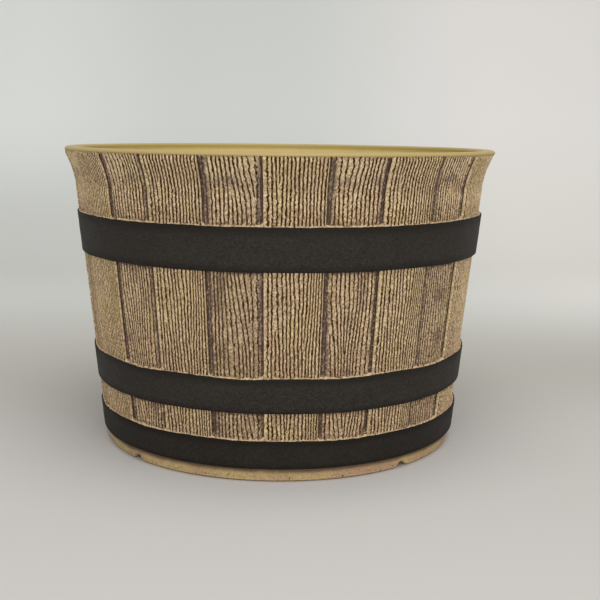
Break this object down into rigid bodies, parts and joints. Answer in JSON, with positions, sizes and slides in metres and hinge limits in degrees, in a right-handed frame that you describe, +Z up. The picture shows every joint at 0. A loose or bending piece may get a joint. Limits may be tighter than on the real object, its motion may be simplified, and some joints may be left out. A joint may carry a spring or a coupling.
{
  "type": "barrel planter",
  "caption": "Round half-barrel planter in wood-look stoneware, with a flared rim, alternating proud and sunk staves, flat black hoops, a glazed lining and a notched foot ring.",
  "frame": {"origin": "centre of the footprint, on the ground under the foot ring", "axes": "+Z up along the axis of the pot; -Y through the middle of stave_01, a proud stave; staves are numbered towards +X"},
  "size_m": [0.4, 0.4, 0.273],
  "materials": {
    "lining_glaze": "satin",
    "stave_proud": "matte",
    "stave_sunk": "matte",
    "hoop_black": "matte",
    "foot_clay": "matte"
  },
  "bodies": {
    "root": {"lining_pot": "lining_glaze", "floor_slab": "lining_glaze", "foot_ring": "foot_clay", "upper_hoop": "hoop_black", "middle_hoop": "hoop_black", "lower_hoop": "hoop_black", "stave_01": "stave_proud", "stave_02": "stave_sunk", "stave_03": "stave_proud", "stave_04": "stave_sunk", "stave_05": "stave_proud", "stave_06": "stave_sunk", "stave_07": "stave_proud", "stave_08": "stave_sunk", "stave_09": "stave_proud", "stave_10": "stave_sunk", "stave_11": "stave_proud", "stave_12": "stave_sunk", "stave_13": "stave_proud", "stave_14": "stave_sunk", "stave_15": "stave_proud", "stave_16": "stave_sunk", "stave_17": "stave_proud", "stave_18": "stave_sunk", "stave_19": "stave_proud", "stave_20": "stave_sunk", "stave_21": "stave_proud", "stave_22": "stave_sunk", "stave_23": "stave_proud", "stave_24": "stave_sunk"}
  },
  "joints": []
}
